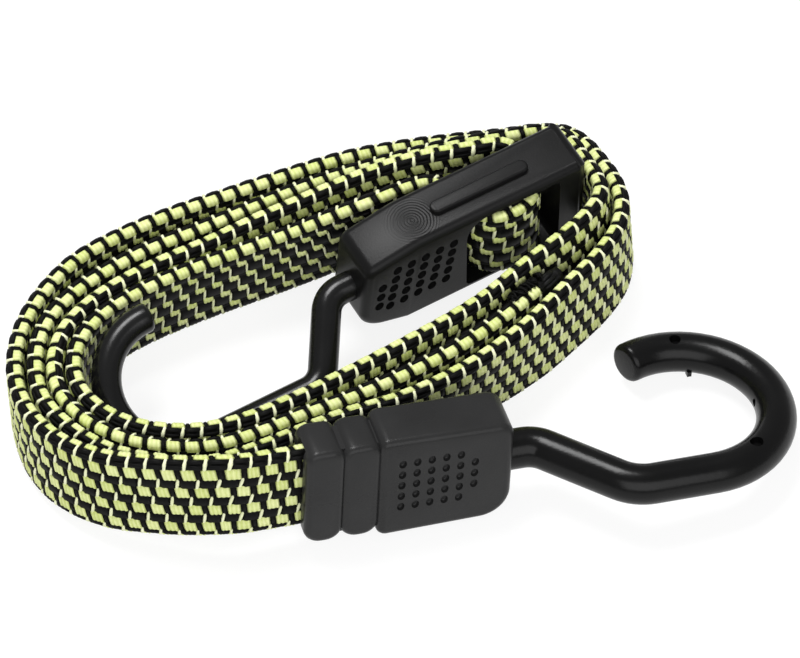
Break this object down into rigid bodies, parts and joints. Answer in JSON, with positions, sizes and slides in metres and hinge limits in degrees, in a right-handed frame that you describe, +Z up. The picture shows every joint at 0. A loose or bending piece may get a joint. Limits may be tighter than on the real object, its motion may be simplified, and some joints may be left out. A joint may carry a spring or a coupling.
{
  "type": "flat bungee cord",
  "caption": "Flat woven elastic strap coiled on its edge, with a moulded housing and coated wire hook at one end and a slotted length adjuster with a smaller hook at the other.",
  "frame": {"origin": "middle of the underside of the box around the housing, the adjuster and the two hooks, on the floor", "axes": "+Z up, +Y away from the viewer of the picture, +X to the right, towards the large hook"},
  "size_m": [0.1541, 0.095, 0.0305],
  "materials": {
    "woven_cover": "woven black and lime yarn",
    "latex": "matt",
    "sealed_end": "heat sealed",
    "moulding": "satin black",
    "large_coat": "satin black",
    "small_coat": "gloss black",
    "wire": "drawn wire"
  },
  "bodies": {
    "coil": {"strap_coil_cover": "woven_cover", "strap_loop_cover": "woven_cover", "strap_tail_cover": "woven_cover", "strap_coil_strand_1": "latex", "strap_coil_strand_2": "latex", "strap_coil_strand_3": "latex", "strap_coil_strand_4": "latex", "strap_loop_strand_1": "latex", "strap_loop_strand_2": "latex", "strap_loop_strand_3": "latex", "strap_loop_strand_4": "latex", "strap_tail_strand_1": "latex", "strap_tail_strand_2": "latex", "strap_tail_strand_3": "latex", "strap_tail_strand_4": "latex", "tail_end_binding": "sealed_end"},
    "fixed_end": {"strap_end_cover": "woven_cover", "strap_end_strand_1": "latex", "strap_end_strand_2": "latex", "strap_end_strand_3": "latex", "strap_end_strand_4": "latex", "end_housing": "moulding", "fixed_hook_core": "wire", "fixed_hook_coat": "large_coat"},
    "adjuster": {"adjuster_body": "moulding", "adjuster_hook_core": "wire", "adjuster_hook_coat": "small_coat"}
  },
  "joints": [
    {"name": "end_swing", "type": "hinge", "parent": "coil", "child": "fixed_end", "pos_m": [-0.03438, -0.04154, 0.01596], "axis": [-0.0427, -0.1614, -0.986], "range_deg": [0, 60]},
    {"name": "adjuster_swing", "type": "hinge", "parent": "coil", "child": "adjuster", "pos_m": [0.01109, 0.02789, 0.01675], "axis": [-0.0016, -0.1015, 0.9948], "range_deg": [-1.3, 0.9]}
  ]
}
